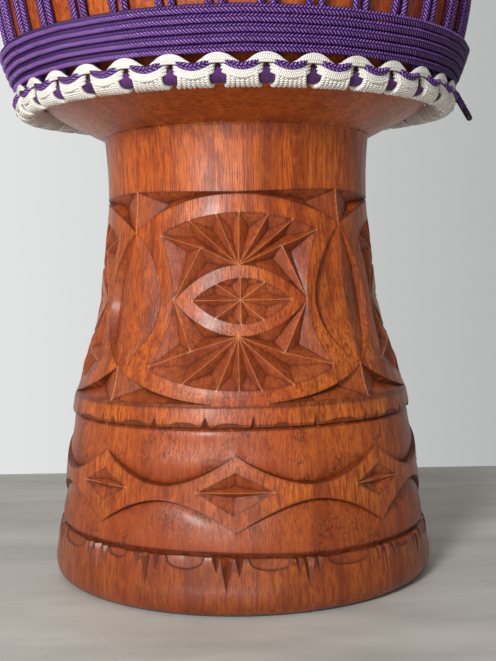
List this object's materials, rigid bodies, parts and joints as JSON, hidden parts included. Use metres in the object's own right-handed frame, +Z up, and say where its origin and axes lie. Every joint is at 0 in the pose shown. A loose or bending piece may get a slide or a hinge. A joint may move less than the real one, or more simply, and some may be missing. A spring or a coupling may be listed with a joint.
{
  "type": "djembe drum",
  "caption": "Goblet-shaped hand drum with a carved hardwood foot, a flared bowl, a rope-tensioned skin head, cloth-wrapped rings and white looped cord.",
  "frame": {"origin": "middle of the underside of the foot, on the drum's axis", "axes": "+Z up along the drum's axis; -Y is the front that the picture shows; +X to the right of the front"},
  "size_m": [0.356, 0.3558, 0.6018],
  "materials": {
    "carved_wood": "lacquered hardwood, satin to semi-gloss, darker and rougher in the cuts",
    "skin": "shaved goatskin, matt",
    "ring_cloth": "plain woven cotton wrap over a steel ring",
    "loop_cord": "braided polyester cord, off-white",
    "rope": "braided polyester rope, purple with a slight sheen",
    "rope_tip": "melted and sealed rope end"
  },
  "bodies": {
    "root": {"shell": "carved_wood", "skin_head": "skin", "crown_ring": "ring_cloth", "bottom_ring": "ring_cloth", "top_loops": "loop_cord", "bottom_loops": "loop_cord", "lacing_rope": "rope", "belt_rope": "rope", "tail_rope": "rope", "tail_tip": "rope_tip"}
  },
  "joints": []
}
